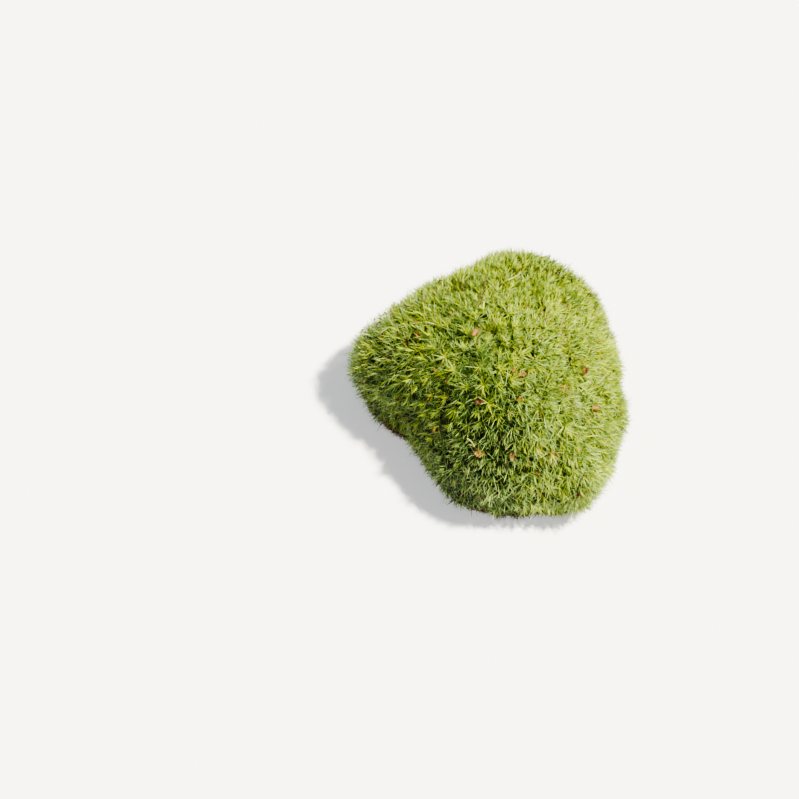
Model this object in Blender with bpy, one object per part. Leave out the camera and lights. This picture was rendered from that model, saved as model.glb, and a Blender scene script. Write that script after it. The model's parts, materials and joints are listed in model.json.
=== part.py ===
"""A moss clump as it is lifted from the ground: a dome of tightly grown leafy shoots on a thin brown mat of
old stems and leaf mould, with bud scales and dead stems caught among the shoot tips.

Metres, +Z up. The clump rests on the mat's flat underside at Z = 0, and its box is centred on the Z axis.
"""

import math
import random

import bmesh
import bpy
import numpy as np
from mathutils import Matrix, Vector, geometry, noise
from mathutils.bvhtree import BVHTree

MM = 0.001

# The cushion, measured over the leaf tips
CUSHION_TOP = 104 * MM
WIDEST_LEVEL = 29 * MM
RIM_LEVEL = 8 * MM
RIM_ANGLE = math.radians(113)
SHOULDER_FULLNESS = 0.9
CROWN_ROUNDING = 55
# Seen from above: azimuth in degrees from +X, and the radius there in millimetres
PLAN_OUTLINE = (
    (0, 96), (26, 101), (52, 112), (78, 116), (104, 102), (128, 98), (150, 109), (168, 113),
    (186, 99), (205, 76), (228, 79), (248, 90), (270, 98), (290, 104), (306, 116), (322, 114), (338, 105), (350, 103),
)
# Swells and hollows of the whole surface: how far, and how wide
SWELLS = ((5.0 * MM, 46 * MM), (3.0 * MM, 20 * MM))

# One peak for each tuft of shoot tips
TUFT_COUNT = 960
TUFT_DEPTH = 4.6 * MM
TUFT_UNEVENNESS = 1.3 * MM
TUFT_JITTER = 0.32
RIM_POINTS = 108

# The mat under the cushion
GAP = 0.3 * MM
MAT_TOP = RIM_LEVEL - GAP
MAT_INSET = 2.2 * MM
MAT_CRUMBLE = 3.2 * MM
MAT_SEGMENTS = 110
# Share of the mat's height, how much further in than its widest part, and share of the crumbling
MAT_RINGS = ((0, 3 * MM, 0.7), (0.3, 0.4 * MM, 1), (0.65, 0, 1), (1, 1.2 * MM, 0.3))

# Bud scales and leaf scraps: place seen from above, length and width (all in millimetres), turn in degrees
BUD_SCALES = (
    (-67, 15, 6.0, 4.4, -60, "red_brown"),
    (-14.5, 14.5, 9.0, 4.4, 40, "tan"),
    (19, -18, 6.6, 5.4, 20, "tan"),
    (66.4, -8.7, 8.4, 4.6, 70, "red_brown"),
    (86, -20.4, 7.6, 3.4, -10, "red_brown"),
    (75, -34.6, 8.2, 4.4, 20, "tan"),
    (-12.7, -38, 7.0, 4.8, -10, "red_brown"),
    (17.2, -37, 5.6, 3.6, 10, "tan"),
    (-13, -72.4, 8.0, 6.2, -12, "tan"),
    (11, -76, 7.0, 3.0, -70, "tan"),
    (-47.6, -49, 7.6, 5.6, -15, "red_brown"),
    (61.5, -93, 6.6, 4.4, 70, "red_brown"),
    (-40, 70, 4.6, 3.2, 10, "red_brown"),
)
SCALE_THICKNESS = 0.5 * MM
SCALE_CUP = 0.3
SCALE_CURL = 0.12
SCALE_TIP_WIDTH = 0.3
# Dead stems: both ends seen from above, thickness and sideways bow (all in millimetres)
STEMS = (
    (-8, 60, -13, 37, 0.9, 1.5, "red_brown"),
    (9, 60, 19.5, 72, 1.0, -1, "straw"),
    (-22, -62, -16.5, -67.6, 0.9, 0.8, "straw"),
    (3.5, 13, 8, 6.5, 0.8, 0.4, "straw"),
)
STEM_SEGMENTS = 8
STEM_SIDES = 6
LOWERING_STEP = 0.1 * MM

GOLDEN_ANGLE = math.pi * (3 - math.sqrt(5))

COLOURS = {
    "moss": (0.30, 0.38, 0.07),
    "mat": (0.085, 0.05, 0.026),
    "red_brown": (0.27, 0.085, 0.035),
    "tan": (0.56, 0.32, 0.17),
    "straw": (0.50, 0.42, 0.20),
}


def clear_scene():
    for old in list(bpy.data.objects):
        bpy.data.objects.remove(old)


def material(name, roughness=0.85):
    made = bpy.data.materials.get(name)
    if made is None:
        made = bpy.data.materials.new(name)
        made.use_nodes = True
        shader = made.node_tree.nodes["Principled BSDF"]
        shader.inputs["Base Color"].default_value = (*COLOURS[name], 1)
        shader.inputs["Roughness"].default_value = roughness
        shader.inputs["Metallic"].default_value = 0
    return made


def add_object(name, bm, colour):
    mesh = bpy.data.meshes.new(name)
    bmesh.ops.recalc_face_normals(bm, faces=bm.faces)
    bm.to_mesh(mesh)
    bm.free()
    made = bpy.data.objects.new(name, mesh)
    bpy.context.scene.collection.objects.link(made)
    mesh.materials.append(material(colour))
    return made


def around_the_plan():
    """The outline's radius at every degree: a smooth closed curve through PLAN_OUTLINE. And the same rounded off,
    for the crown."""
    angles = np.array([a for a, _ in PLAN_OUTLINE])
    radii = np.array([r for _, r in PLAN_OUTLINE]) * MM
    before, after = np.roll(radii, 1), np.roll(radii, -1)
    steep = (after - before) / 2
    degrees = np.arange(360)
    low = np.searchsorted(angles, degrees, side="right") - 1
    high = (low + 1) % len(angles)
    t = (degrees - angles[low]) / ((angles[high] - angles[low]) % 360)
    curve = (
        (2 * t**3 - 3 * t**2 + 1) * radii[low]
        + (t**3 - 2 * t**2 + t) * steep[low]
        + (3 * t**2 - 2 * t**3) * radii[high]
        + (t**3 - t**2) * steep[high]
    )
    rounded = np.mean([np.roll(curve, turn) for turn in range(-CROWN_ROUNDING, CROWN_ROUNDING + 1)], axis=0)
    return curve, rounded


PLAN_CURVE, CROWN_CURVE = around_the_plan()


def plan_radius(azimuth, share):
    """The cushion's radius, rounded at the crown (share 0) and as outlined at the widest ring (share 1)."""
    degrees = math.degrees(azimuth) % 360
    outlined, rounded = (float(np.interp(degrees, range(360), c, period=360)) for c in (PLAN_CURVE, CROWN_CURVE))
    t = min(max((share - 0.2) / 0.8, 0), 1)
    return rounded + (outlined - rounded) * t * t * (3 - 2 * t)


def profile(lean):
    """Share of the plan radius, and height, at an angle from the crown (0) over the widest ring to the rim."""
    out = math.sin(lean) ** (SHOULDER_FULLNESS if lean < math.pi / 2 else 1)
    if lean < math.pi / 2:
        return out, WIDEST_LEVEL + (CUSHION_TOP - WIDEST_LEVEL) * math.cos(lean) ** SHOULDER_FULLNESS
    return out, WIDEST_LEVEL + (WIDEST_LEVEL - RIM_LEVEL) * math.cos(lean) / -math.cos(RIM_ANGLE)


def bare_surface(azimuth, lean):
    share, height = profile(lean)
    radius = plan_radius(azimuth, share if lean < math.pi / 2 else 1) * share
    return Vector((radius * math.cos(azimuth), radius * math.sin(azimuth), height))


def outward(azimuth, lean):
    step = 0.02
    here = bare_surface(azimuth, max(lean, step))
    along = bare_surface(azimuth, max(lean, step) + step) - here
    around = bare_surface(azimuth + step, max(lean, step)) - here
    return along.cross(around).normalized()


def surface(azimuth, lean, sunk=0.0):
    """A point on the envelope of the leaf tips, or that far below it."""
    place = bare_surface(azimuth, lean)
    swell = sum(size * noise.noise(place / width) for size, width in SWELLS)
    fade = min(1, max(0, (RIM_ANGLE - lean) / math.radians(12)))
    return place + outward(azimuth, lean) * (swell - sunk) * fade


def lean_of_share():
    """Turns a share of the cushion's area, counted from the crown, into the angle where it ends."""
    leans = np.linspace(0, RIM_ANGLE, 400)
    radius = sum(r for _, r in PLAN_OUTLINE) / len(PLAN_OUTLINE) * MM
    curve = np.array([(radius * share, height) for share, height in map(profile, leans)])
    steps = np.linalg.norm(np.diff(curve, axis=0), axis=1)
    area = np.concatenate([[0], np.cumsum(steps * (curve[1:, 0] + curve[:-1, 0]) / 2)])
    return lambda share: float(np.interp(share, area / area[-1], leans))


def tuft_places(rng):
    """The tufts' places on a disc on which equal areas are equal areas of the cushion, with the rim's ring last."""
    spacing = math.sqrt(math.pi / TUFT_COUNT)
    places = []
    for i in range(TUFT_COUNT):
        out = math.sqrt((i + 0.5) / TUFT_COUNT) * (1 - spacing * 0.55)
        turn = i * GOLDEN_ANGLE
        nudge = Vector((rng.uniform(-1, 1), rng.uniform(-1, 1))) * spacing * TUFT_JITTER
        places.append(Vector((out * math.cos(turn), out * math.sin(turn))) + nudge)
    for i in range(RIM_POINTS):
        turn = 2 * math.pi * i / RIM_POINTS
        places.append(Vector((math.cos(turn), math.sin(turn))))
    return places


def moss_cushion():
    """Each tuft is a many-sided point: a triangle net through the tufts gets a hollow in every triangle, and its
    inner edges are turned so that they run from hollow to hollow, round the tufts."""
    rng = random.Random(11)
    places, _, faces, *_ = geometry.delaunay_2d_cdt(tuft_places(rng), [], [], 0, 1e-6)
    bm = bmesh.new()
    tufts = [bm.verts.new((p.x, p.y, 0)) for p in places]
    for face in faces:
        bm.faces.new([tufts[i] for i in face])
    ridges = [edge for edge in bm.edges if not edge.is_boundary]
    rim = {v for edge in bm.edges if edge.is_boundary for v in edge.verts}
    hollows = set(bmesh.ops.poke(bm, faces=bm.faces[:])["verts"])
    bmesh.ops.rotate_edges(bm, edges=ridges, use_ccw=True)
    lean_at = lean_of_share()
    for v in bm.verts:
        azimuth, share = math.atan2(v.co.y, v.co.x), min(v.co.length, 1) ** 2
        if v in rim:
            v.co = surface(azimuth, RIM_ANGLE)
        elif v in hollows:
            v.co = surface(azimuth, lean_at(share), TUFT_DEPTH + rng.uniform(-1, 1) * TUFT_UNEVENNESS)
        else:
            v.co = surface(azimuth, lean_at(share), rng.uniform(0, 1) * TUFT_UNEVENNESS)
    bmesh.ops.edgeloop_fill(bm, edges=[edge for edge in bm.edges if edge.is_boundary])
    return add_object("moss_cushion", bm, "moss")


def root_mat():
    """A crumbly slab with a flat top and underside, a little inside the cushion's rim."""
    bm = bmesh.new()
    rings = []
    for share, inset, crumble in MAT_RINGS:
        ring = []
        for i in range(MAT_SEGMENTS):
            rim = surface(2 * math.pi * i / MAT_SEGMENTS, RIM_ANGLE)
            place = Vector((rim.x, rim.y, share * MAT_TOP))
            rough = noise.noise(place / (13 * MM)) + 0.7 * noise.noise(place / (4 * MM))
            out = Vector((rim.x, rim.y, 0)).normalized()
            ring.append(bm.verts.new(place + out * (rough * MAT_CRUMBLE * crumble - MAT_INSET - inset)))
        rings.append(ring)
    for low, high in zip(rings, rings[1:]):
        for i in range(MAT_SEGMENTS):
            j = (i + 1) % MAT_SEGMENTS
            bm.faces.new((low[i], low[j], high[j], high[i]))
    bm.faces.new(rings[0])
    bm.faces.new(rings[-1])
    return add_object("root_mat", bm, "mat")


def seen_from_above(x, y):
    """The azimuth and lean of the cushion's place under a point given in millimetres."""
    azimuth = math.atan2(y, x)
    shares = np.linspace(0, 0.999, 200)
    out = [share * plan_radius(azimuth, share) for share in shares]
    share = float(np.interp(math.hypot(x, y) * MM, out, shares))
    return azimuth, math.asin(share ** (1 / SHOULDER_FULLNESS))


def lay_on(bm, cushion_tree, azimuth, lean, turn):
    """Brings a scrap made flat at the origin to its place, lowers it until it touches the tufts, and lifts it by
    the gap."""
    up = outward(azimuth, lean)
    right = (Vector((1, 0, 0)) - up * up.x).normalized()
    level = Matrix((right, up.cross(right), up)).transposed().to_4x4()
    bmesh.ops.rotate(bm, verts=bm.verts, matrix=level @ Matrix.Rotation(turn, 4, "Z"))
    bmesh.ops.translate(bm, verts=bm.verts, vec=surface(azimuth, lean) + up * 12 * MM)
    bmesh.ops.recalc_face_normals(bm, faces=bm.faces)
    while not BVHTree.FromBMesh(bm).overlap(cushion_tree):
        bmesh.ops.translate(bm, verts=bm.verts, vec=-up * LOWERING_STEP)
    bmesh.ops.translate(bm, verts=bm.verts, vec=up * (GAP + LOWERING_STEP))


def bud_scale(number, cushion_tree, x, y, length, width, turn, colour):
    """An oval cup with a blunt tip."""
    bm = bmesh.new()
    bmesh.ops.create_grid(bm, x_segments=4, y_segments=3, size=1)
    for v in bm.verts:
        along, across = v.co.x, v.co.y
        fullness = math.sqrt(1 - 0.75 * (along + 0.15) ** 2)
        half = width / 2 * (SCALE_TIP_WIDTH + (1 - SCALE_TIP_WIDTH) * fullness)
        lift = SCALE_CUP * width / 2 * across**2 + SCALE_CURL * length / 2 * along**2
        v.co = Vector((along * length / 2, across * half, lift)) * MM
    bmesh.ops.solidify(bm, geom=bm.faces[:], thickness=SCALE_THICKNESS)
    lay_on(bm, cushion_tree, *seen_from_above(x, y), math.radians(turn))
    return add_object(f"bud_scale_{number}", bm, colour)


def tube(bm, path, radii):
    rings = []
    for i, centre in enumerate(path):
        along = (path[min(i + 1, len(path) - 1)] - path[max(i - 1, 0)]).normalized()
        side = along.cross(Vector((0, 0, 1))).normalized()
        up = side.cross(along)
        turns = [2 * math.pi * k / STEM_SIDES for k in range(STEM_SIDES)]
        rings.append([bm.verts.new(centre + radii[i] * (math.cos(t) * side + math.sin(t) * up)) for t in turns])
    for low, high in zip(rings, rings[1:]):
        for k in range(STEM_SIDES):
            m = (k + 1) % STEM_SIDES
            bm.faces.new((low[k], low[m], high[m], high[k]))
    bm.faces.new(rings[0])
    bm.faces.new(rings[-1])


def dead_stem(number, x0, y0, x1, y1, thickness, bow, colour):
    """A stalk draped over the cushion between two places."""
    path = []
    for i in range(STEM_SEGMENTS + 1):
        t = i / STEM_SEGMENTS
        side = Vector((y0 - y1, x1 - x0)).normalized() * bow * math.sin(math.pi * t)
        azimuth, lean = seen_from_above(x0 + (x1 - x0) * t + side.x, y0 + (y1 - y0) * t + side.y)
        path.append(surface(azimuth, lean, -thickness / 2 * MM - GAP))
    radii = [thickness / 2 * MM * (1 - 0.35 * i / STEM_SEGMENTS) for i in range(STEM_SEGMENTS + 1)]
    bm = bmesh.new()
    tube(bm, path, radii)
    return add_object(f"dead_stem_{number}", bm, colour)


def centre_on_axis(made):
    """Moves everything so that the clump's box is centred on the Z axis."""
    bpy.context.view_layer.update()
    corners = np.array([v.co for thing in made for v in thing.data.vertices])
    middle = (corners.max(axis=0) + corners.min(axis=0)) / 2
    for thing in made:
        thing.data.transform(Matrix.Translation((-middle[0], -middle[1], 0)))


def main():
    clear_scene()
    cushion = moss_cushion()
    shape = bmesh.new()
    shape.from_mesh(cushion.data)
    cushion_tree = BVHTree.FromBMesh(shape)
    shape.free()
    made = [cushion, root_mat()]
    for number, row in enumerate(BUD_SCALES, start=1):
        made.append(bud_scale(number, cushion_tree, *row))
    for number, row in enumerate(STEMS, start=1):
        made.append(dead_stem(number, *row))
    centre_on_axis(made)


main()
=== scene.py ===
"""Looks of the moss clump: leafy shoots, thatch of old stems inside, root mat, bud scales and dead stems."""

import json
import math

import bmesh
import bpy
import numpy as np
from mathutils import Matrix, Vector, noise


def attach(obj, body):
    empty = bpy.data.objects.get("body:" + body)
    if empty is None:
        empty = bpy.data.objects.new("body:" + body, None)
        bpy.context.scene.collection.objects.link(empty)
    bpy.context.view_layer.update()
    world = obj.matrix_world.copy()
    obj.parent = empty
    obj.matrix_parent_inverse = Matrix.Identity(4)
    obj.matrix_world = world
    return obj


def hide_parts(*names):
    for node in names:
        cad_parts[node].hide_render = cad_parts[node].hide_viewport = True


MM = 0.001
GOLDEN_ANGLE = math.pi * (3 - math.sqrt(5))
# Points closer than this are one point, and faces and points this near the lowest level lie on it
WELD = 0.001 * MM
UNDERSIDE = 0.1 * MM
KEPT_FLAT = 0.2 * MM

# Camera: far off, looking down on the clump
VIEW_ANGLE = math.radians(66)
VIEW_DISTANCE = 2.5
VIEW_LENS = 150
SENSOR_WIDTH = 36
AIM = (-0.066, -0.0204, 0.045)

# Light: a warm sun high on the right and a pale sky. The floor glows a little, so that it stays white
SUN_PLACE = (0.9, 0.12, 1.6)
SUN_STRENGTH = 16
SUN_WIDTH = math.radians(4)
SUN_COLOUR = (1, 0.965, 0.82)
SKY_COLOUR = (0.86, 0.95, 1)
SKY_STRENGTH = 0.27
FLOOR_SIZE = 12
FLOOR_DROP = 0.2 * MM
FLOOR_COLOUR = (0.8, 0.8, 0.8)
FLOOR_GLOW = 0.45

# Regions, seen from above: the dense, light side lies this way from the middle, and the borders waver
LIGHT_WAY = (0.75, 0.65)
LIGHT_SPAN = 34 * MM
WAVER_SIZE = 30 * MM
OPEN_FROM = 0.35
OPEN_WAVER = 0.5
# Painted shade: the leaves are painted darkest round this place, and painted lighter between the two
# distances from it
PAINTED_SHADE_POLE = (-68 * MM, -70 * MM)
PAINTED_SHADE_REACH = (45 * MM, 140 * MM)
PAINTED_SHADE_WAVER = 9 * MM
# Painted light: the leaves are painted lighter on a shoulder on the left
SHOULDER = (-50 * MM, -4 * MM)
SHOULDER_SIZE = 36 * MM
SHOULDER_PAINTED_LIGHT = 0.95
# Painted shade: the leaves are painted darker towards the back and front ends, and darkest at the left of the
# front one
ENDS_REACH = (48 * MM, 85 * MM)
ENDS_PAINTED_SHADE = 0.45
FRONT_REACH = (50 * MM, -10 * MM)
FRONT_PAINTED_SHADE = 2.6
# The crown: its middle, from where the shoots lean away, and where it ends and is full
CROWN = (-12.7 * MM, -17.8 * MM)
CROWN_REACH = (62 * MM, 25 * MM)
# The foot and the flank: the heights and the upward shares of the normal where they begin and are full
FOOT_HEIGHTS = (34 * MM, 12 * MM)
FLANK_SLOPES = (0.75, 0.15)
# A tuft that juts out of the right flank
NOSE = (101 * MM, -38 * MM, 37 * MM)
NOSE_SIZE = 9 * MM
NOSE_RISE = 5.5 * MM
# The moss is in pieces: the crown within this radius, and the flanks round it
CROWN_PIECE = "moss_crown"
CROWN_RADIUS = 50 * MM
FLANK_PIECES = (
    "moss_right",
    "moss_back_right",
    "moss_back_left",
    "moss_left",
    "moss_front_left",
    "moss_front_right",
)

# A shoot's tip is level with the CAD cushion's tufts this near to it, less a slope for their distance
TUFT_REACH = 6.5 * MM
TUFT_HEIGHT = 12 * MM
TUFT_SLOPE = 0.12
# The outward direction at a place is a mean over this reach, so that single tufts don't tilt it
NORMAL_REACH = 9 * MM
# Places are worked out in parts, so that the tables of distances stay small
PLACES_IN_PART = 400
TIP_PARTS = 12

# Shoots. A pair is for the open, light side and for the loose, shaded side. The leading shoots are set out
# first, and the filling ones, which are shorter and sit deeper, go in between them
CANDIDATES = 26000
LEADING_CANDIDATES = 5000
LEAD_SPACING = (7.6 * MM, 6.8 * MM)
LEAD_CROWN_SPACING = 4.0 * MM
FILL_SPACING = (4.5 * MM, 4.2 * MM)
FILL_SUNK = (1.2 * MM, 1.8 * MM)
FILL_CROWN_SUNK = 1.3 * MM
FILL_LENGTH = 0.86
# How much shoots and leaves differ in size and spacing
GROWTH = (0.85, 1.12)
# How deep shoots sit at most, each for itself and in the valleys between the tufts
SUNK = (0.8 * MM, 1.8 * MM)
VALLEY = (2.6 * MM, 4.4 * MM)
VALLEY_SIZE = 13 * MM
TIP_RISE = 2.6 * MM
# How far shoots lean: each for itself, with their neighbours, and away from the crown, most on gentle slopes
SHOOT_TILT = (0.2, 0.14)
COMB = 0.3
COMB_SIZE = 26 * MM
FLOW = 0.5
FLOW_REACH = 44 * MM
FLOW_SLOPES = (0.1, 0.6)
# They turn up on the foot and the flank, and none leans into the cushion
FLANK_LIFT = 0.3
LEAST_OUTWARD = 0.3
# Patches of lighter and darker shoots, and of withered ones
PATCH_SIZE = 17 * MM
SMALL_PATCH_SIZE = 7 * MM
WITHERED_SIZE = 11 * MM
WITHERED_FROM = (0.18, 0.42)
# Round a bud scale the shoots stand higher, between these distances from its middle
NEST_RISE = 3.2 * MM
NEST_REACH = (8 * MM, 4 * MM)

# Leaves, counted from the shoot's tip downwards. The share is how many of them are there
LEAF_LENGTH = (10.5 * MM, 13.0 * MM)
LEAF_WIDTH = (0.52 * MM, 0.61 * MM)
LEAF_SHARE = (0.89, 0.34)
LENGTH_SCATTER = (0.82, 1.12)
YOUNG_LENGTH = 0.5
FULL_GROWN = 12
UPPER_LEAVES = 28
UPPER_STEP = 0.13 * MM
LOWER_LEAVES = 14
LOWER_STEP = 0.3 * MM
INDEX_SCATTER = 0.3
# Leaves lean out from the shoot, little at its tip, then up to the spread, and the old ones still further
SPREAD = (math.radians(50), math.radians(58))
YOUNG_LEAN = math.radians(6)
OLD_LEAN = math.radians(22)
LEAN_SCATTER = math.radians(11)
# They bend towards the way that the shoot flows, gather on that side, and curl and twist on their own
SWEEP = 0.65
SWEEP_SCATTER = (0.4, 1.3)
FAN = (0.35, 0.72)
CURL = (math.radians(18), math.radians(14))
CURL_SCATTER = math.radians(14)
TWIST_SCATTER = math.radians(25)
# The stars of the crown: more leaves, standing higher, with a heart of short young leaves. The heart's share
# is the one that any leading shoot has, and what a star adds
STAR_SHARE = 0.3
STAR_RISE = 1.5 * MM
HEART_LEAVES = 12
HEART_SHARE = (0.08, 1.3)
HEART_LEAN = (math.radians(14), math.radians(62))
HEART_LENGTH = 0.8
HEART_RISE = 1.4 * MM
HEART_SWEEP = 0.4
HEART_AGE = 0.3

# A blade: the shares of its length where it has points, its width along it, and the depth of its fold
HEART_STATIONS = (0, 0.5, 1)
UPPER_STATIONS = (0, 0.38, 0.78, 1)
LOWER_STATIONS = (0, 0.35, 0.7, 1)
BLADE_PROFILE = ((0, 0.25, 0.6, 0.85, 1), (0.85, 1, 0.82, 0.48, 0))
FOLD = 0.45
FLOOR_CLEARANCE = 0.4 * MM
# Painted shade: how exposed an upper leaf's foot and a lower leaf's tip are, on the most and the least
# exposed shoots; the less exposed, the darker they are painted
FOOT_PAINTED_EXPOSURE = (0.50, 0.14)
BURIED_PAINTED_EXPOSURE = (0.50, 0.0)
# Between these leaves they come to lie behind the ones above, where painted shade darkens them and less of a
# painted highlight falls
BEHIND_LEAVES = (12, 21)

# Thatch: how far under the cushion's surface it lies, its speckles, painted near black as shade, and where it
# turns to its painted lighter colour on the light side
THATCH_DEPTH = 7.0 * MM
THATCH_SMOOTHINGS = 3
THATCH_DARK = (0.002, 0.005, 0.0005)
THATCH_LIGHT = (0.018, 0.028, 0.004)
THATCH_SPECKLE = 3 * MM
THATCH_GLOSS = 0.02
THATCH_PAINTED_LIGHT = (0.085, 0.125, 0.045)
THATCH_PAINTED_LIGHT_SPAN = (-35 * MM, 30 * MM)

# Bud scales and litter, which is bits of scales and leaves that have fallen in between the shoots
SCALE_THICKNESS = 0.18 * MM
SCALE_SIZE = 0.9
SCALE_TILT = (math.radians(10), math.radians(35))
SCALE_CUP = (0.6, 1.1)
SCALE_CURL = (0.2, 0.6)
SCALE_TATTER = 0.14
SCALE_ROWS = 13
SCALE_COLUMNS = 9
LITTER_COUNT = 90
LITTER_LENGTH = (1.6 * MM, 4.2 * MM)
LITTER_WIDTH = (0.14, 0.34)
LITTER_DEPTH = (0.5 * MM, 4.5 * MM)
LITTER_TILT = 0.4
LITTER_CUP = (0.3, 0.9)
LITTER_CURL = (-0.4, 0.8)
LITTER_TATTER = 0.25
TAN_SHARE = 0.3

# Dead stems and the root mat: how rough they are, and the fibres on the faces of the mat's side
STEM_CUTS = 2
STEM_ROUGHNESS = 0.16 * MM
STEM_GRAIN = 1.3 * MM
MAT_CUTS = 3
MAT_ROUGHNESS = 0.9 * MM
MAT_GRAIN = 3.5 * MM
SIDE_SLOPE = 0.8
FIBRE_COUNT = 9000
FIBRE_LENGTH = (3.0 * MM, 9.0 * MM)
FIBRE_WIDTH = (0.22 * MM, 0.60 * MM)
FIBRE_ROOTED = 0.3 * MM
FIBRE_BEND = math.radians(50)
FIBRE_TWIST = math.radians(60)

# The colour map of the leaves has one column for each colour, from its dark to its light end
LEAF_COLOURS = {
    "yellow": ((0.16, 0.25, 0.044), (0.60, 0.67, 0.020)),
    "green": ((0.062, 0.148, 0.044), (0.43, 0.60, 0.075)),
    "pale": ((0.235, 0.37, 0.125), (0.72, 0.83, 0.26)),
    "olive": ((0.030, 0.052, 0.010), (0.20, 0.28, 0.03)),
    "brown": ((0.080, 0.038, 0.010), (0.42, 0.24, 0.080)),
}
# Pale leaf tips, which also stand as a painted highlight, strongest on the shaded side
LEAF_BLEACHED_AND_HIGHLIGHT = (0.80, 0.87, 0.32)
FIBRE_COLOURS = {
    "root": ((0.020, 0.010, 0.004), (0.14, 0.065, 0.026)),
    "stem": ((0.060, 0.028, 0.010), (0.30, 0.155, 0.060)),
    "straw": ((0.15, 0.085, 0.032), (0.50, 0.33, 0.14)),
}
FIBRE_BLEACHED = (0.30, 0.22, 0.13)
# Every colour has at least this chance. In its column, a leaf starts here and goes over this much, and each
# further point across a blade is a step lighter
LEAST_CHANCE = 0.004
COLUMN_START = 0.06
COLUMN_LENGTH = 0.86
EDGE_TONE = 0.004

# Leaf surface: its gloss, how much light comes through, and the exposures where painted shade darkens it and
# where it bleaches, partly as pale tips and partly as a painted highlight
LEAF_ROUGHNESS = 0.45
LEAF_GLOSS = 0.2
LEAF_TRANSLUCENCY = 0.33
PAINTED_SHADE_STOPS = ((0, (0.03, 0.04, 0.01)), (0.26, (0.26, 0.3, 0.15)), (0.5, (1, 1, 1)))
# Pale tips and painted highlight: where they begin and how strong they get at most
BLEACH_AND_HIGHLIGHT_FROM = 0.6
BLEACH_AND_HIGHLIGHT_MOST = 0.95
# Speckled surfaces: name, dark and light colour, size of the speckles and roughness, for each material slot
SPECKLED = {
    "red_brown": ("scale_red_brown", (0.016, 0.006, 0.001), (0.11, 0.038, 0.007), 1.8 * MM, 0.6),
    "tan": ("scale_tan", (0.06, 0.026, 0.005), (0.36, 0.175, 0.04), 1.8 * MM, 0.6),
    "straw": ("stem_straw", (0.20, 0.18, 0.04), (0.44, 0.42, 0.12), 1.6 * MM, 0.6),
    "mat": ("root_mat_brown", (0.012, 0.007, 0.004), (0.11, 0.060, 0.028), 2.6 * MM, 0.9),
}
# Where the noise turns from dark to light, and the relief of the grain
SPECKLE_TURN = (0.32, 0.68)
SPECKLE_RELIEF = 0.4
SPECKLE_HEIGHT = 0.6 * MM

rng = np.random.default_rng(7)
scale_rng = np.random.default_rng(3)


def unit(v):
    return v / np.maximum(np.linalg.norm(v, axis=-1, keepdims=True), 1e-12)


def mix(pair, share):
    return pair[0] * share + pair[1] * (1 - share)


def smooth_step(low, high, x):
    t = np.clip((x - low) / (high - low), 0, 1)
    return t * t * (3 - 2 * t)


def nearness(places, middle, size):
    """1 at the middle, and almost 0 from two sizes away."""
    return np.exp(-((np.linalg.norm(places - middle, axis=1) / size) ** 2))


def noise_at(points, size, seed):
    """Smooth noise from about -1 to 1 at each point."""
    shift = Vector((seed * 17.3, seed * 5.1, seed * 9.7))
    return np.array([noise.noise(Vector(p) / size + shift) for p in points])


def noise_vectors(points, size, seed):
    return np.stack([noise_at(points, size, seed + k) for k in range(3)], axis=1)


def new_mesh(name, verts, faces, uv=None):
    """faces: an array of corner rows, all triangles. uv: a pair for each vertex."""
    mesh = bpy.data.meshes.new(name)
    mesh.vertices.add(len(verts))
    mesh.vertices.foreach_set("co", np.asarray(verts, dtype=np.float32).ravel())
    faces = np.asarray(faces, dtype=np.int32)
    mesh.loops.add(faces.size)
    mesh.loops.foreach_set("vertex_index", faces.ravel())
    mesh.polygons.add(len(faces))
    mesh.polygons.foreach_set("loop_start", np.arange(0, faces.size, 3, dtype=np.int32))
    mesh.polygons.foreach_set("loop_total", np.full(len(faces), 3, dtype=np.int32))
    mesh.polygons.foreach_set("use_smooth", np.ones(len(faces), dtype=bool))
    mesh.update(calc_edges=True)
    if uv is not None:
        layer = mesh.uv_layers.new(name="OFBake")
        layer.data.foreach_set("uv", np.asarray(uv, dtype=np.float32)[faces.ravel()].ravel())
    return mesh


def smooth_mesh(name, bm):
    """Turns an edit mesh into a smoothly shaded one."""
    mesh = bpy.data.meshes.new(name)
    bm.to_mesh(mesh)
    bm.free()
    for polygon in mesh.polygons:
        polygon.use_smooth = True
    return mesh


def join(parts):
    """Joins meshes, each given as points, faces and, for leaves, places on the colour map."""
    verts, faces, *maps = zip(*parts)
    starts = np.cumsum([0, *(len(v) for v in verts[:-1])])
    faces = [f + start for f, start in zip(faces, starts)]
    return [np.concatenate(arrays) for arrays in (verts, faces, *maps)]


def place(name, mesh, material, replaced=None):
    """Makes a piece of the clump, which stands for the replaced CAD node where it has one."""
    piece = bpy.data.objects.new(name, mesh)
    bpy.context.scene.collection.objects.link(piece)
    piece.data.materials.append(material)
    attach(piece, "root")
    if replaced:
        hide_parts(replaced)


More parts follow.
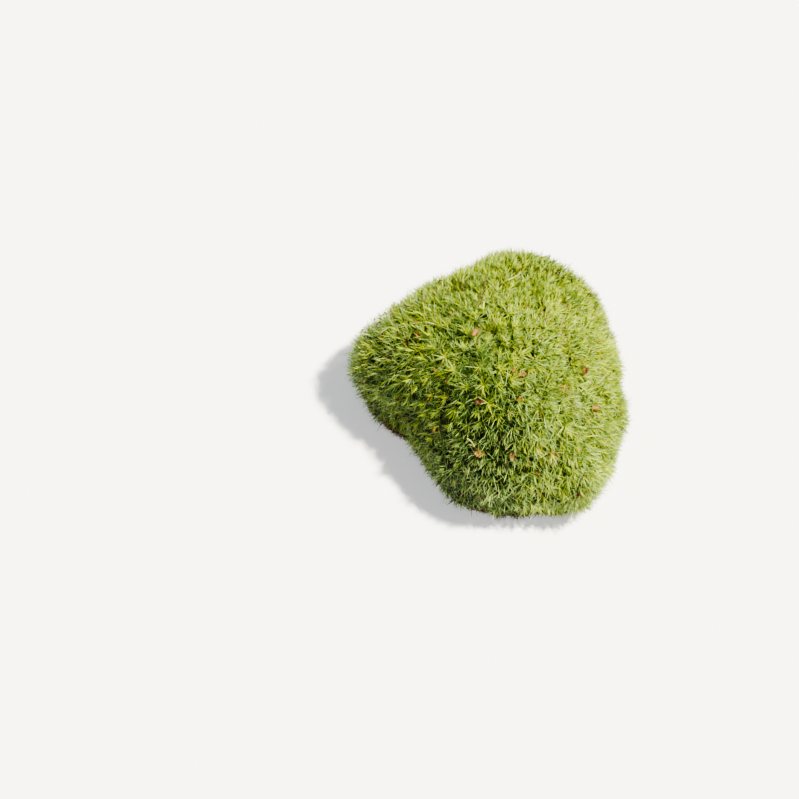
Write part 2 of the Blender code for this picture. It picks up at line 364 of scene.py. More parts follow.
class Cushion:
    """The CAD cushion as welded points and faces."""

    def __init__(self, solid):
        bm = bmesh.new()
        bm.from_mesh(solid.data)
        bmesh.ops.remove_doubles(bm, verts=bm.verts, dist=WELD)
        bmesh.ops.triangulate(bm, faces=bm.faces)
        bm.verts.index_update()
        self.points = np.array([v.co for v in bm.verts])
        self.faces = np.array([[v.index for v in f.verts] for f in bm.faces])
        bm.free()
        corners = self.points[self.faces]
        cross = np.cross(corners[:, 1] - corners[:, 0], corners[:, 2] - corners[:, 0])
        self.middle = corners.mean(axis=1)
        self.weight = cross / 2
        self.area = np.linalg.norm(self.weight, axis=1)
        self.floor = self.points[:, 2].min()
        faces_down = cross[:, 2] < -0.999 * np.linalg.norm(cross, axis=1)
        self.under = faces_down & (self.middle[:, 2] < self.floor + UNDERSIDE)

    def normals(self, places):
        """The mean outward direction of the faces round each place, which ignores the single tufts."""
        shown = ~self.under
        out = []
        for chunk in np.array_split(places, max(1, len(places) // PLACES_IN_PART)):
            gap = np.linalg.norm(chunk[:, None] - self.middle[None, shown], axis=2)
            share = np.exp(-((gap / NORMAL_REACH) ** 2))
            out.append(share @ self.weight[shown])
        return unit(np.concatenate(out))

    def sample(self, count):
        """Random points spread evenly over the cushion, without its flat underside."""
        weight = np.where(self.under, 0, self.area)
        picked = rng.choice(len(self.faces), size=count, p=weight / weight.sum())
        a, b = np.sqrt(rng.random(count)), rng.random(count)
        shares = np.stack([1 - a, a * (1 - b), a * b], axis=1)
        first, second, third = (shares[:, k, None] * self.points[self.faces[picked, k]] for k in range(3))
        return first + second + third

    def raise_to_tips(self, places, out):
        """Moves each place out to the level of the tufts' points around it."""
        rise = []
        for chunk, normal in zip(np.array_split(places, TIP_PARTS), np.array_split(out, TIP_PARTS)):
            offset = self.points[None] - chunk[:, None]
            along = np.einsum("ijk,ik->ij", offset, normal)
            aside = np.linalg.norm(offset - along[..., None] * normal[:, None], axis=2)
            near = (aside < TUFT_REACH) & (np.abs(along) < TUFT_HEIGHT)
            rise.append(np.where(near, along - aside * TUFT_SLOPE, -1).max(axis=1))
        return places + np.concatenate(rise)[:, None] * out


def toward_light(places):
    """How far to the light side, in about 1 for each third of the way."""
    return (places[:, 0] * LIGHT_WAY[0] + places[:, 1] * LIGHT_WAY[1]) / LIGHT_SPAN


def openness(places):
    """1 on the side where the cushion is dense and light, 0 where it is loose and shaded."""
    waver = OPEN_WAVER * noise_at(places, WAVER_SIZE, seed=3)
    return 0.5 + 0.5 * np.tanh(toward_light(places) - OPEN_FROM + waver)


def painted_light_and_shade(places):
    """Painted light and shade: 0 where the leaves are painted darkest, 1 where they are painted lightest."""
    waver = PAINTED_SHADE_WAVER * noise_at(places, WAVER_SIZE, seed=5)
    reach = np.linalg.norm(places[:, :2] - PAINTED_SHADE_POLE, axis=1) + waver
    shoulder = nearness(places[:, :2], SHOULDER, SHOULDER_SIZE)
    front = FRONT_PAINTED_SHADE * smooth_step(*FRONT_REACH, places[:, 0])
    ends = smooth_step(*ENDS_REACH, np.abs(places[:, 1])) * np.where(places[:, 1] < 0, front, 1)
    return smooth_step(*PAINTED_SHADE_REACH, reach) + SHOULDER_PAINTED_LIGHT * shoulder - ENDS_PAINTED_SHADE * ends


def crown(places):
    """1 in the middle of the crown, where the shoots stand apart like stars, 0 further out."""
    return smooth_step(*CROWN_REACH, np.linalg.norm(places[:, :2] - CROWN, axis=1))


def spread_out(places, spacing):
    """Keeps places, in order, that are no closer to a kept one than their spacing."""
    cell = spacing.max()
    kept, grid = [], {}
    for i, (p, gap) in enumerate(zip(places, spacing)):
        key = tuple((p // cell).astype(int))
        near = (
            j
            for dx in (-1, 0, 1)
            for dy in (-1, 0, 1)
            for dz in (-1, 0, 1)
            for j in grid.get((key[0] + dx, key[1] + dy, key[2] + dz), ())
        )
        if all(np.dot(places[j] - p, places[j] - p) > gap * gap for j in near):
            kept.append(i)
            grid.setdefault(key, []).append(i)
    return np.array(kept)


def outward_flow(places, out):
    """Along the surface, away from the middle of the crown and down the flanks."""
    away = places * (1, 1, 0) - (*CROWN, 0)
    reach = np.linalg.norm(away, axis=1, keepdims=True)
    way = away / np.maximum(reach, 1e-6) - (0, 0, 1)
    way = way - np.einsum("ij,ij->i", way, out)[:, None] * out
    gentle = 0.45 + 0.55 * smooth_step(*FLOW_SLOPES, out[:, 2:])
    return unit(way) * np.minimum(1, reach / FLOW_REACH) * gentle


def nestled(tips):
    """1 for shoots just round a bud scale, which lies half covered between them, 0 for all others."""
    near = np.zeros(len(tips))
    for name, made in frame["nodes"].items():
        if name.startswith("bud_scale"):
            middle = np.mean([v.co for v in made.data.vertices], axis=0)
            near = np.maximum(near, smooth_step(*NEST_REACH, np.linalg.norm(tips - middle, axis=1)))
    return near


def shoots(cushion):
    """Where each shoot's tip is, which way it points, and how it looks."""
    places = cushion.sample(CANDIDATES)
    open_share = openness(places)
    leading = np.arange(len(places)) < LEADING_CANDIDATES
    wide = mix(LEAD_SPACING, open_share) + LEAD_CROWN_SPACING * crown(places)
    spacing = np.where(leading, wide, mix(FILL_SPACING, open_share))
    kept = spread_out(places, spacing * rng.uniform(*GROWTH, len(places)))
    places, open_share, filling = places[kept], open_share[kept], 1.0 - leading[kept]
    out = cushion.normals(places)
    tips = cushion.raise_to_tips(places, out)
    tips = tips + out * (NOSE_RISE * nearness(tips, NOSE, NOSE_SIZE))[:, None]
    low = smooth_step(*FOOT_HEIGHTS, tips[:, 2])
    flank = smooth_step(*FLANK_SLOPES, out[:, 2])
    in_crown = crown(tips)
    star = in_crown * (1 - filling)
    # Painted sunlight and shade, which lighten and darken the leaves' colour
    painted_sun = painted_light_and_shade(tips)
    flow = outward_flow(tips, out)
    comb = noise_vectors(tips, COMB_SIZE, seed=11) * COMB
    loose = rng.normal(size=tips.shape) * mix(SHOOT_TILT, open_share)[:, None]
    lift = FLANK_LIFT * low + FLANK_LIFT * flank
    axis = unit(out + flow * FLOW + np.array([0, 0, 1]) * lift[:, None] + comb + loose)
    inward = np.maximum(0, LEAST_OUTWARD - np.einsum("ij,ij->i", axis, out))
    patch_and_painted_light = noise_at(tips, PATCH_SIZE, seed=21) + 0.5 * noise_at(tips, SMALL_PATCH_SIZE, seed=22)
    size = rng.uniform(*GROWTH, len(tips)) * (1 - (1 - FILL_LENGTH) * filling)
    sunk = rng.uniform(0, 1, len(tips)) ** 1.6 * mix(SUNK, open_share) - nestled(tips) * NEST_RISE
    sunk = sunk + filling * (mix(FILL_SUNK, open_share) + FILL_CROWN_SUNK * in_crown) - star * STAR_RISE
    valley = np.maximum(0, -noise_at(tips, VALLEY_SIZE, seed=31))
    return {
        "tip": tips,
        "axis": unit(axis + inward[:, None] * out),
        "flow": flow + comb,
        "size": size,
        "sunk": sunk + valley * mix(VALLEY, open_share),
        "share": mix(LEAF_SHARE, open_share) + STAR_SHARE * star,
        "open": open_share,
        "low": low,
        "flank": flank,
        "crown": in_crown,
        "star": star,
        "filling": filling,
        "painted_sun": painted_sun,
        # Painted shade: less exposed where the painted sun is dim and towards the foot, more in the crown
        "exposed": np.clip(painted_sun * (1 - 0.7 * low) + 0.35 * in_crown, 0, 1),
        # Patches of lighter and darker shoots, plus painted light: lighter towards the light side and darker
        # towards the shaded side
        "patch_and_painted_light": patch_and_painted_light + 0.2 * np.clip(toward_light(tips), -2, 2),
        "withered": smooth_step(*WITHERED_FROM, noise_at(tips, WITHERED_SIZE, seed=41)),
    }


def leaf_rows(shoot, first, count, start, step, fan=FAN):
    """One row for each leaf, from the shoot's tip downwards. start is how far down the first one sits."""
    n = len(shoot["tip"])
    axis, open_share, size = shoot["axis"], shoot["open"][:, None], shoot["size"][:, None]
    index = first + np.arange(count)[None, :] + rng.uniform(-INDEX_SCATTER, INDEX_SCATTER, (n, count))
    kept = rng.random((n, count)) < shoot["share"][:, None]
    age = np.clip(index / FULL_GROWN, 0, 1)
    old = np.clip((index - FULL_GROWN) / (UPPER_LEAVES + LOWER_LEAVES), 0, 1)
    side = unit(np.cross(axis, unit(rng.normal(size=axis.shape))))
    other_side = np.cross(axis, side)
    turn = rng.uniform(0, 2 * math.pi, n)[:, None] + index * GOLDEN_ANGLE
    radial = np.cos(turn)[..., None] * side[:, None] + np.sin(turn)[..., None] * other_side[:, None]
    bias = shoot["flow"] - np.einsum("ij,ij->i", shoot["flow"], axis)[:, None] * axis
    full = mix(LEAF_LENGTH, open_share) * size
    length = full * (YOUNG_LENGTH + (1 - YOUNG_LENGTH) * age) * rng.uniform(*LENGTH_SCATTER, (n, count))
    spread = YOUNG_LEAN + (mix(SPREAD, open_share) - YOUNG_LEAN) * age**0.7 + OLD_LEAN * old
    foot = shoot["tip"] + axis * (TIP_RISE - full[:, 0] * YOUNG_LENGTH * 0.97 - shoot["sunk"])[:, None]
    base = foot[:, None] - axis[:, None] * (start + (index - first) * step)[..., None]
    rows = {
        "base": base,
        "axis": np.broadcast_to(axis[:, None], base.shape),
        "radial": unit(radial + (bias * mix(fan, shoot["open"])[:, None])[:, None]),
        "length": length,
        "lean": spread + rng.normal(0, LEAN_SCATTER, (n, count)),
        "sweep": shoot["flow"][:, None] * (SWEEP * rng.uniform(*SWEEP_SCATTER, (n, count)))[..., None],
        "width": mix(LEAF_WIDTH, open_share) * size * rng.uniform(*GROWTH, (n, count)),
        "recurve": mix(CURL, open_share) + rng.normal(0, CURL_SCATTER, (n, count)),
        "sickle": rng.normal(0, 1, (n, count)) * mix(CURL, open_share),
        "twist": rng.normal(0, TWIST_SCATTER, (n, count)),
        "age": age,
        "old": old,
        # Painted shade on the leaves that lie behind the ones above
        "painted_shade_behind": smooth_step(*BEHIND_LEAVES, index) * (1 - 0.75 * shoot["exposed"][:, None]),
        "shoot": np.broadcast_to(np.arange(n)[:, None], age.shape),
    }
    for key in ("exposed", "crown", "low"):
        rows[key] = np.broadcast_to(shoot[key][:, None], age.shape)
    return {key: value[kept] for key, value in rows.items()}


def heart_rows(shoot):
    """The short young leaves that fill the middle of a leading shoot's star."""
    shoot = shoot | {"share": HEART_SHARE[0] + HEART_SHARE[1] * shoot["star"]}
    rows = leaf_rows(shoot, 0, HEART_LEAVES, -HEART_RISE, 0, (0, 0))
    rows["lean"] = rng.uniform(*HEART_LEAN, len(rows["lean"]))
    rows["length"] = rows["length"] * HEART_LENGTH
    rows["sweep"] = rows["sweep"] * HEART_SWEEP
    rows["age"] = rows["age"] * HEART_AGE
    return rows


def across_map(column, lightness, colours):
    """How far across the colour map a lightness from 0 to 1 is in a column, clear of the column's ends."""
    return (column + COLUMN_START + COLUMN_LENGTH * np.clip(lightness, 0, 1)) / len(colours)


def leaf_tones(shoot, leaf):
    """Each leaf's place across the colour map, from the chances of the colours and how light it is."""
    own = {key: value[leaf["shoot"]] for key, value in shoot.items()}
    open_share, low, flank, in_crown, star = (own[key] for key in ("open", "low", "flank", "crown", "star"))
    painted_sun, patch_and_painted_light, withered, filling = (own[key] for key in ("painted_sun", "patch_and_painted_light", "withered", "filling"))
    age, old = leaf["age"], leaf["old"]
    # Painted light: yellow is likelier where the sun is painted, and olive likelier in the darker patches
    chances = {
        "yellow": 0.12 + 1.8 * (1 - age) ** 1.5 * (1 + 1.5 * star) + 0.5 * patch_and_painted_light + 0.38 * painted_sun,
        "green": 0.7 - 0.25 * patch_and_painted_light,
        "pale": 0.05 + 1.5 * age * (1 - old) * (1 - 0.8 * open_share) * (1 - 0.7 * in_crown),
        "olive": 0.06 + 0.25 * low + 0.9 * old + 0.35 * np.maximum(0, -patch_and_painted_light),
        "brown": 0.012 + 0.4 * low**2 + 0.35 * old**2 + 0.5 * withered,
    }
    chance = np.clip(np.stack([chances[name] for name in LEAF_COLOURS], axis=1), LEAST_CHANCE, None)
    chance = np.cumsum(chance / chance.sum(axis=1, keepdims=True), axis=1)
    column = (rng.random(len(age))[:, None] > chance).sum(axis=1)
    # Painted light and shade: lighter where the sun is painted, darker on the deeper filling shoots and on
    # the light side's flanks; also darker with age and towards the foot, and lighter in the young leaves of
    # the stars
    lightness = 0.26 + 0.25 * patch_and_painted_light + 0.33 * painted_sun - 0.08 * in_crown - 0.05 * age - 0.3 * old - 0.2 * low
    lightness = lightness - 0.1 * filling + 0.36 * star * (1 - age) - 0.08 * open_share * flank
    lightness = lightness + rng.normal(0, 1, len(age)) * (0.18 - 0.05 * open_share)
    return across_map(column, lightness, LEAF_COLOURS)


def painted_exposures(leaf, folded):
    """Painted shade: how exposed the foot and the tip of each leaf are, the less exposed the darker they are
    painted. The flat ones are the buried lower leaves.
    """
    if not folded:
        return 0, mix(BURIED_PAINTED_EXPOSURE, leaf["exposed"])
    young = 1 - leaf["age"]
    foot = mix(FOOT_PAINTED_EXPOSURE, leaf["exposed"]) + 0.12 * young - 0.24 * leaf["painted_shade_behind"]
    # The tip's bleaching is partly a painted highlight: weaker on exposed leaves and in the crown, stronger
    # on shaded ones
    tip = 1 - 0.3 * young - 0.31 * leaf["exposed"] - 0.16 * leaf["crown"] - 0.1 * leaf["low"]
    return foot, tip - 0.5 * leaf["painted_shade_behind"]


def growth_ways(leaf, at):
    """The way each leaf grows at a share of its length, and the way square to it in the plane of its bend."""
    tangent = np.cross(leaf["axis"], leaf["radial"])
    sway = (leaf["sickle"] * at)[:, None]
    lean = (leaf["lean"] + leaf["recurve"] * at)[:, None]
    outward = np.cos(sway) * leaf["radial"] + np.sin(sway) * tangent
    along = unit(np.cos(lean) * leaf["axis"] + np.sin(lean) * outward + leaf["sweep"] * at)
    return along, np.cos(lean) * outward - np.sin(lean) * leaf["axis"]


def blade_faces(levels, rows):
    """The faces of one blade, which has the same points at each level and one point at its tip."""
    pattern = []
    for a in (level * rows + k for level in range(levels - 1) for k in range(rows - 1)):
        pattern += [(a, a + 1, a + rows + 1), (a, a + rows + 1, a + rows)]
    last = (levels - 1) * rows
    return np.array(pattern + [(last + k, last + k + 1, last + rows) for k in range(rows - 1)])


def blades(leaf, tone, stations, folded):
    """The leaves' mesh: narrow blades, folded along the middle or flat, that bend outwards and sideways."""
    foot, tip = painted_exposures(leaf, folded)
    centre, before = leaf["base"], 0.0
    verts, uv = [], []
    for t in stations:
        step = leaf["length"] * (t - before)
        centre = centre + growth_ways(leaf, (before + t) / 2)[0] * step[:, None]
        before = t
        along, square = growth_ways(leaf, t)
        wide = unit(np.cross(along, square))
        back = np.cross(wide, along)
        turn = (leaf["twist"] * t)[:, None]
        half = (leaf["width"] / 2 * np.interp(t, *BLADE_PROFILE))[:, None]
        edge = (np.cos(turn) * wide + np.sin(turn) * back) * half
        fold = (np.cos(turn) * back - np.sin(turn) * wide) * (half * FOLD)
        if t == 1:
            row = [(centre, 1)]
        elif folded:
            row = [(centre - edge - fold, 0), (centre, 1), (centre + edge - fold, 2)]
        else:
            row = [(centre - edge, 0), (centre + edge, 2)]
        verts += [point for point, _ in row]
        uv += [np.stack([tone + shift * EDGE_TONE, foot + (tip - foot) * t], axis=1) for _, shift in row]
    verts, uv = np.stack(verts, axis=1), np.stack(uv, axis=1)
    verts[..., 2] = np.maximum(verts[..., 2], FLOOR_CLEARANCE)
    pattern = blade_faces(len(stations) - 1, 3 if folded else 2)
    faces = np.arange(len(verts))[:, None, None] * verts.shape[1] + pattern[None]
    return verts.reshape(-1, 3), faces.reshape(-1, 3), uv.reshape(-1, 2)


def piece_numbers(tips):
    """Which piece each shoot belongs to: 0 for the crown, then the flanks in turn from the right."""
    wedge = 360 / len(FLANK_PIECES)
    turn = np.degrees(np.arctan2(tips[:, 1], tips[:, 0])) % 360
    flank = 1 + ((turn + wedge / 2) % 360 // wedge).astype(int)
    return np.where(np.hypot(tips[:, 0], tips[:, 1]) < CROWN_RADIUS, 0, flank)


def make_moss(cushion, material):
    every = shoots(cushion)
    numbers = piece_numbers(every["tip"])
    for number, name in enumerate((CROWN_PIECE, *FLANK_PIECES)):
        own = {key: value[numbers == number] for key, value in every.items()}
        leading = {key: value[own["filling"] == 0] for key, value in own.items()}
        heart = heart_rows(leading)
        upper = leaf_rows(own, 0, UPPER_LEAVES, 0, UPPER_STEP)
        lower = leaf_rows(own, UPPER_LEAVES, LOWER_LEAVES, UPPER_LEAVES * UPPER_STEP, LOWER_STEP)
        parts = (
            blades(heart, leaf_tones(leading, heart), HEART_STATIONS, True),
            blades(upper, leaf_tones(own, upper), UPPER_STATIONS, True),
            blades(lower, leaf_tones(own, lower), LOWER_STATIONS, False),
        )
        place(name, new_mesh(name, *join(parts)), material, "moss_cushion")


def make_thatch(cushion, material):
    """The mass of old stems and leaves inside, seen only through gaps between the shoots, painted near black
    as shade.
    """
    bm = bmesh.new()
    verts = [bm.verts.new(p) for p in cushion.points]
    for f in cushion.faces:
        bm.faces.new([verts[i] for i in f])
    for v, direction in zip(bm.verts, cushion.normals(cushion.points)):
        v.co = v.co - Vector(direction) * THATCH_DEPTH
        v.co.z = max(v.co.z, cushion.floor)
    every_way = {"use_axis_" + axis: True for axis in "xyz"}
    for _ in range(THATCH_SMOOTHINGS):
        bmesh.ops.smooth_vert(bm, verts=bm.verts, factor=0.5, **every_way)
    for v in bm.verts:
        v.co.z = max(v.co.z, cushion.floor)
    bmesh.ops.recalc_face_normals(bm, faces=bm.faces)
    place("moss_thatch", smooth_mesh("moss_thatch", bm), material, "moss_cushion")


def frame_of(points):
    """The middle, the three directions from longest to shortest, and the half sizes along them."""
    middle = (points.min(axis=0) + points.max(axis=0)) / 2
    axes = np.linalg.svd(points - points.mean(axis=0), full_matrices=False)[2]
    axes[2] = np.cross(axes[0], axes[1])
    # The third direction points out of the cushion
    if axes[2] @ (middle * (1, 1, 0.6)) < 0:
        axes[1:] = -axes[1:]
    along = (points - middle) @ axes.T
    return middle, axes, (along.max(axis=0) - along.min(axis=0)) / 2


def scale_mesh(middle, axes, half, cup, curl, tatter):
    """A thin dry scale: cupped across, curled along, pointed at one end, with a torn edge."""
    lengthwise, crosswise = np.linspace(-1, 1, SCALE_ROWS), np.linspace(-1, 1, SCALE_COLUMNS)
    along, across = np.meshgrid(lengthwise, crosswise, indexing="ij")
    wide = np.maximum(0.06, 1 - np.abs(along) ** 2.4) ** 0.6 * (1 - 0.28 * along)
    wide = wide * (1 + 0.22 * np.sin(2.6 * along + scale_rng.uniform(0, 6)) * np.sign(across))
    torn = 1 + tatter * scale_rng.normal(size=(SCALE_ROWS, 1)) * np.abs(across) ** 3
    aside = across * wide * torn
    lift = cup * (aside**2 - 0.4) + curl * (along**2 - 0.4) + 0.05 * scale_rng.normal(size=along.shape)
    crumple = np.sin(3.4 * along + scale_rng.uniform(0, 6)) * np.sin(2.8 * across + scale_rng.uniform(0, 6))
    rib = 0.05 * np.cos(across * math.pi * 4)
    lift = lift + 0.3 * crumple + rib
    flat = middle + (along * half[0])[..., None] * axes[0] + (aside * half[1])[..., None] * axes[1]
    upper = flat + (lift * half[1])[..., None] * axes[2]
    lower = upper - axes[2] * SCALE_THICKNESS
    verts = np.concatenate([upper.reshape(-1, 3), lower.reshape(-1, 3)])
    below = along.size
    index = np.arange(below).reshape(along.shape)
    quads = np.stack([index[:-1, :-1], index[1:, :-1], index[1:, 1:], index[:-1, 1:]], axis=-1).reshape(-1, 4)
    rim = np.concatenate([index[0], index[1:, -1], index[-1, -2::-1], index[-2::-1, 0]])
    wall = np.stack([rim[:-1], rim[1:], rim[1:] + below, rim[:-1] + below], axis=1)
    quads = np.concatenate([quads, quads[:, ::-1] + below, wall])
    return verts, np.concatenate([quads[:, (0, 1, 2)], quads[:, (0, 2, 3)]])


def weathered(solid, name, cuts, amount, size):
    """A finer copy of a CAD piece, roughened by noise, with its lowest level kept flat."""
    bm = bmesh.new()
    bm.from_mesh(solid.data)
    bmesh.ops.remove_doubles(bm, verts=bm.verts, dist=WELD)
    floor = min(v.co.z for v in bm.verts)
    bmesh.ops.subdivide_edges(bm, edges=bm.edges, cuts=cuts, smooth=0.4, use_grid_fill=True)
    bmesh.ops.triangulate(bm, faces=bm.faces)
    bm.normal_update()
    for v in bm.verts:
        shift = noise.noise(v.co / size) + 0.5 * noise.noise(v.co / size * 2.7)
        moved = v.co + v.normal * shift * amount
        above = v.co.z > floor + KEPT_FLAT
        v.co = (moved.x, moved.y, max(moved.z, floor) if above else floor)
    return smooth_mesh(name, bm)


def make_debris(finishes):
    """Bud scales and dead stems in the places of their CAD pieces."""
    for part in frame["record"]["subparts"]:
        name, slot_name = part["node"], part["material_slot"]
        solid = frame["nodes"][name]
        if name.startswith("bud_scale"):
            middle, axes, half = frame_of(np.array([v.co for v in solid.data.vertices]))
            cup, curl = scale_rng.uniform(*SCALE_CUP), scale_rng.uniform(*SCALE_CURL)
            tilt = scale_rng.choice((-1, 1)) * scale_rng.uniform(*SCALE_TILT)
            up = math.cos(tilt) * axes[2] + math.sin(tilt) * axes[1]
            axes = np.stack([axes[0], np.cross(up, axes[0]), up])
            scale = scale_mesh(middle, axes, half * SCALE_SIZE, cup, curl, SCALE_TATTER)
            mesh = new_mesh(name + "_dry", *scale)
        elif name.startswith("dead_stem"):
            mesh = weathered(solid, name + "_dry", STEM_CUTS, STEM_ROUGHNESS, STEM_GRAIN)
        else:
            continue
        place(name + "_dry", mesh, finishes[slot_name], name)


def make_litter(cushion, finishes):
    """Small broken scales and leaves in the gaps, most of them in the shaded part."""
    places = cushion.sample(LITTER_COUNT * 4)
    places = places[openness(places) < rng.uniform(0, 1.3, len(places))][:LITTER_COUNT]
    out = cushion.normals(places)
    places = cushion.raise_to_tips(places, out) - out * rng.uniform(*LITTER_DEPTH, len(places))[:, None]
    parts = {"red_brown": [], "tan": []}
    for spot, normal in zip(places, out):
        way = unit(np.cross(normal, rng.normal(size=3)))
        normal = unit(normal + LITTER_TILT * rng.normal(size=3))
        way = unit(way - (way @ normal) * normal)
        axes = np.stack([way, np.cross(normal, way), normal])
        length = rng.uniform(*LITTER_LENGTH)
        half = np.array([length / 2, length * rng.uniform(*LITTER_WIDTH), 0])
        cup, curl = rng.uniform(*LITTER_CUP), rng.uniform(*LITTER_CURL)
        piece = scale_mesh(spot, axes, half, cup, curl, LITTER_TATTER)
        parts["tan" if rng.random() < TAN_SHARE else "red_brown"].append(piece)
    for slot_name, pieces in parts.items():
        name = "litter_" + slot_name
        place(name, new_mesh(name, *join(pieces)), finishes[slot_name])


def make_mat(solid, finish):
    """The root mat's own body, and the root-like hairs and old stems that stand out of its side."""
    body = weathered(solid, "root_mat_body", MAT_CUTS, MAT_ROUGHNESS, MAT_GRAIN)
    place("root_mat_body", body, finish, "root_mat")
    solid.data.calc_loop_triangles()
    corners = np.array([[solid.data.vertices[i].co for i in t.vertices] for t in solid.data.loop_triangles])
    cross = np.cross(corners[:, 1] - corners[:, 0], corners[:, 2] - corners[:, 0])
    area = np.linalg.norm(cross, axis=1)
    weight = np.where(np.abs(cross[:, 2]) < SIDE_SLOPE * area, area, 0)
    n = FIBRE_COUNT
    picked = rng.choice(len(corners), size=n, p=weight / weight.sum())
    base = np.einsum("ij,ijk->ik", rng.dirichlet((1, 1, 1), n), corners[picked])
    out = unit(cross[picked])
    around = unit(np.cross(out, (0, 0, 1.0))) * rng.choice((-1, 1), n)[:, None]
    along_side = around * rng.uniform(0, 1.4, (n, 1))
    axis = unit(out * 0.5 + along_side + rng.normal(size=(n, 3)) * (0.25, 0.25, 0.45))
    fibre = {
        "base": base - out * FIBRE_ROOTED,
        "axis": axis,
        "length": rng.uniform(*FIBRE_LENGTH, n) * rng.uniform(0.5, 1, n),
        "radial": unit(np.cross(axis, rng.normal(size=(n, 3)))),
        "sweep": np.tile((0, 0, -0.5), (n, 1)) - out * 0.25,
        "width": rng.uniform(*FIBRE_WIDTH, n),
        "recurve": rng.normal(0, FIBRE_BEND, n),
        "sickle": rng.normal(0, FIBRE_BEND, n),
        "twist": rng.normal(0, FIBRE_TWIST, n),
        "age": np.ones(n),
        "exposed": np.ones(n),
    }
    fibre |= {key: np.zeros(n) for key in ("lean", "crown", "low", "painted_shade_behind")}
    column = rng.integers(0, len(FIBRE_COLOURS), n)
    tone = across_map(column, rng.random(n), FIBRE_COLOURS)
    mesh = new_mesh("mat_fibres", *blades(fibre, tone, UPPER_STATIONS, True))
    place("mat_fibres", mesh, leaf_material("mat_fibre", FIBRE_COLOURS, FIBRE_BLEACHED), "root_mat")


def add_node(tree, kind, **inputs):
    made = tree.nodes.new(kind)
    for name, value in inputs.items():
        made.inputs[name.replace("_", " ")].default_value = value
    return made


def add_ramp(tree, stops):
    made = tree.nodes.new("ShaderNodeValToRGB")
    elements = made.color_ramp.elements
    while len(elements) < len(stops):
        elements.new(0.5)
    for element, (position, colour) in zip(elements, stops):
        element.position = position
        element.color = (*colour, 1)
    return made


def add_mix(tree, blend_type="MIX"):
    made = tree.nodes.new("ShaderNodeMix")
    made.data_type = "RGBA"
    made.blend_type = blend_type
    return made


def new_material(name, roughness):
    material = bpy.data.materials.new(name)
    material.use_nodes = True
    shader = material.node_tree.nodes["Principled BSDF"]
    shader.inputs["Roughness"].default_value = roughness
    return material, material.node_tree, shader


def leaf_material(name, colours, bleached_and_highlight):
    """Coloured by the map alone: across it the leaf's column and lightness, up it how exposed it is, which
    paints shade towards the foot and pale tips with a painted highlight towards the tip.
    """
    material, tree, shader = new_material(name, LEAF_ROUGHNESS)
    shader.inputs["Specular IOR Level"].default_value = LEAF_GLOSS
    uv = tree.nodes.new("ShaderNodeUVMap")
    uv.uv_map = "OFBake"
    split = tree.nodes.new("ShaderNodeSeparateXYZ")
    stops = []
    for i, (dark, light) in enumerate(colours.values()):
        stops += [(i / len(colours) + 0.001, dark), ((i + 1) / len(colours) - 0.002, light)]
    own_colour = add_ramp(tree, stops)
    # Painted shade: the leaf's colour darkens towards its foot and on the buried lower leaves
    shaded = add_ramp(tree, PAINTED_SHADE_STOPS)
    shade = add_mix(tree, "MULTIPLY")
    shade.inputs["Factor"].default_value = 1
    # Pale tips and painted highlight towards the leaf's tip
    bleach_and_highlight = add_mix(tree)
    bleach_and_highlight.inputs["B"].default_value = (*bleached_and_highlight, 1)
    near_tip = add_node(tree, "ShaderNodeMapRange", From_Min=BLEACH_AND_HIGHLIGHT_FROM, To_Max=BLEACH_AND_HIGHLIGHT_MOST)
    through = tree.nodes.new("ShaderNodeBsdfTranslucent")
    both = tree.nodes.new("ShaderNodeMixShader")
    both.inputs["Fac"].default_value = LEAF_TRANSLUCENCY
    link = tree.links.new
    link(uv.outputs["UV"], split.inputs["Vector"])
    link(split.outputs["X"], own_colour.inputs["Fac"])
    link(split.outputs["Y"], shaded.inputs["Fac"])
    link(split.outputs["Y"], near_tip.inputs["Value"])
    link(own_colour.outputs["Color"], shade.inputs["A"])
    link(shaded.outputs["Color"], shade.inputs["B"])
    link(shade.outputs["Result"], bleach_and_highlight.inputs["A"])
    link(near_tip.outputs["Result"], bleach_and_highlight.inputs["Factor"])
    link(bleach_and_highlight.outputs["Result"], shader.inputs["Base Color"])
    link(bleach_and_highlight.outputs["Result"], through.inputs["Color"])
    link(shader.outputs["BSDF"], both.inputs[1])
    link(through.outputs["BSDF"], both.inputs[2])
    link(both.outputs["Shader"], tree.nodes["Material Output"].inputs["Surface"])
    return material


def speckled_material(name, dark, light, size, roughness=0.9, gloss=0.3):
    """Noise between two colours, with grain."""
    material, tree, shader = new_material(name, roughness)
    shader.inputs["Specular IOR Level"].default_value = gloss
    spot = tree.nodes.new("ShaderNodeTexCoord")
    grain = add_node(tree, "ShaderNodeTexNoise", Scale=1 / size, Detail=6.0, Roughness=0.65)
    colours = add_ramp(tree, tuple(zip(SPECKLE_TURN, (dark, light))))
    relief = add_node(tree, "ShaderNodeBump", Strength=SPECKLE_RELIEF, Distance=SPECKLE_HEIGHT)
    link = tree.links.new
    link(spot.outputs["Object"], grain.inputs["Vector"])
    link(grain.outputs["Fac"], colours.inputs["Fac"])
    link(colours.outputs["Color"], shader.inputs["Base Color"])
    link(grain.outputs["Fac"], relief.inputs["Height"])
    link(relief.outputs["Normal"], shader.inputs["Normal"])
    return material


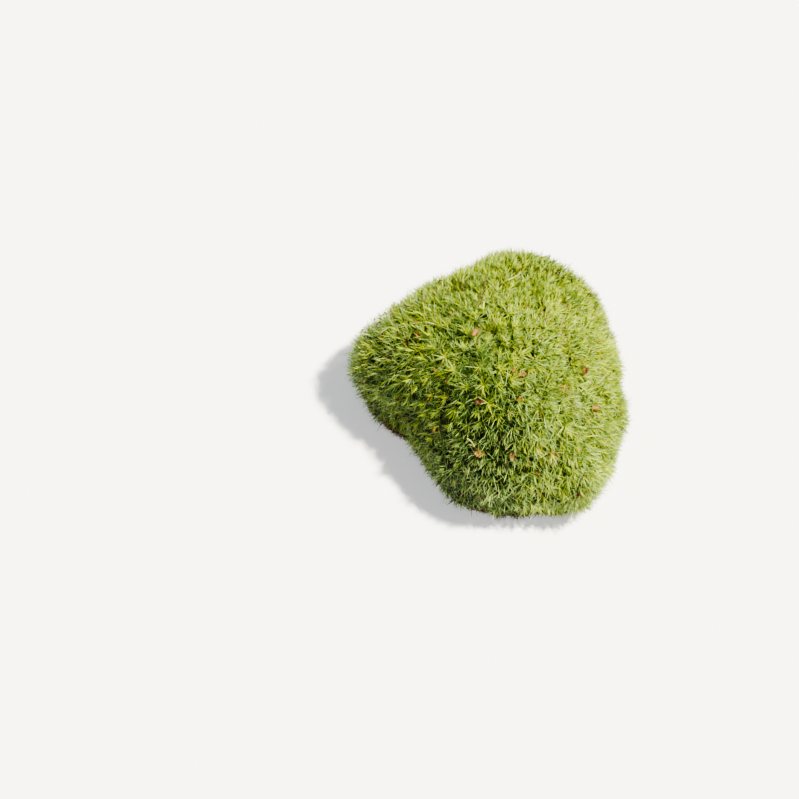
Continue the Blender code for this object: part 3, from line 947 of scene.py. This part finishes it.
def thatch_painted_shade_material():
    """Painted shade: almost black between the loose shoots of the shaded side; painted light: a dull deep
    green on the light side.
    """
    material = speckled_material("thatch", THATCH_DARK, THATCH_LIGHT, THATCH_SPECKLE, gloss=THATCH_GLOSS)
    tree = material.node_tree
    aside = tree.nodes.new("ShaderNodeVectorMath")
    aside.operation = "DOT_PRODUCT"
    aside.inputs[1].default_value = (*LIGHT_WAY, 0)
    share = add_node(tree, "ShaderNodeMapRange", From_Min=THATCH_PAINTED_LIGHT_SPAN[0], From_Max=THATCH_PAINTED_LIGHT_SPAN[1])
    painted_light_blend = add_mix(tree)
    painted_light_blend.inputs["B"].default_value = (*THATCH_PAINTED_LIGHT, 1)
    link = tree.links.new
    link(tree.nodes["Texture Coordinate"].outputs["Object"], aside.inputs[0])
    link(aside.outputs["Value"], share.inputs["Value"])
    link(share.outputs["Result"], painted_light_blend.inputs["Factor"])
    link(tree.nodes["Color Ramp"].outputs["Color"], painted_light_blend.inputs["A"])
    link(painted_light_blend.outputs["Result"], tree.nodes["Principled BSDF"].inputs["Base Color"])
    return material


def add_floor():
    bpy.ops.mesh.primitive_plane_add(size=FLOOR_SIZE, location=(0, 0, -FLOOR_DROP))
    floor = bpy.context.active_object
    floor.name = "floor"
    material, _, shader = new_material("floor_white", 0.9)
    shader.inputs["Base Color"].default_value = (*FLOOR_COLOUR, 1)
    shader.inputs["Emission Color"].default_value = (1, 1, 1, 1)
    shader.inputs["Emission Strength"].default_value = FLOOR_GLOW
    floor.data.materials.append(material)


def add_light():
    world = bpy.data.worlds.new("studio")
    bpy.context.scene.world = world
    world.use_nodes = True
    sky = world.node_tree.nodes["Background"]
    sky.inputs["Color"].default_value = (*SKY_COLOUR, 1)
    sky.inputs["Strength"].default_value = SKY_STRENGTH
    data = bpy.data.lights.new("key", "SUN")
    data.energy = SUN_STRENGTH
    data.color = SUN_COLOUR
    data.angle = SUN_WIDTH
    sun = bpy.data.objects.new("key", data)
    bpy.context.scene.collection.objects.link(sun)
    sun.location = SUN_PLACE
    sun.rotation_euler = (-Vector(SUN_PLACE)).to_track_quat("-Z", "Y").to_euler()


def set_view():
    """The camera, and how its picture turns light into colour."""
    data = bpy.data.cameras.new("camera")
    data.lens = VIEW_LENS
    data.sensor_width = SENSOR_WIDTH
    camera = bpy.data.objects.new("camera", data)
    bpy.context.scene.collection.objects.link(camera)
    back = Vector((0, -math.cos(VIEW_ANGLE), math.sin(VIEW_ANGLE)))
    camera.location = Vector(AIM) + back * VIEW_DISTANCE
    camera.rotation_euler = (-back).to_track_quat("-Z", "Y").to_euler()
    bpy.context.scene.camera = camera
    bpy.context.scene.view_settings.view_transform = "AgX"
    bpy.context.scene.view_settings.look = "AgX - Medium High Contrast"


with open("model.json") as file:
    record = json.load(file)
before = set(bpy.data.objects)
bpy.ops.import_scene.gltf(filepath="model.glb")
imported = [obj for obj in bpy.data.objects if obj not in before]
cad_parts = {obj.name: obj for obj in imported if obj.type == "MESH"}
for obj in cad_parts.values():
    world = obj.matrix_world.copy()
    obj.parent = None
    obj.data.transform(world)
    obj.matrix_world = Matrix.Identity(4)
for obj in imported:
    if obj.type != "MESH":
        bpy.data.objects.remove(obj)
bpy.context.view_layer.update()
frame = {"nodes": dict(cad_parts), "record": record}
cushion = Cushion(frame["nodes"]["moss_cushion"])
finishes = {slot_name: speckled_material(*look) for slot_name, look in SPECKLED.items()}
make_moss(cushion, leaf_material("moss_leaf", LEAF_COLOURS, LEAF_BLEACHED_AND_HIGHLIGHT))
make_thatch(cushion, thatch_painted_shade_material())
make_debris(finishes)
make_litter(cushion, finishes)
make_mat(frame["nodes"]["root_mat"], finishes["mat"])
add_floor()
add_light()
set_view()
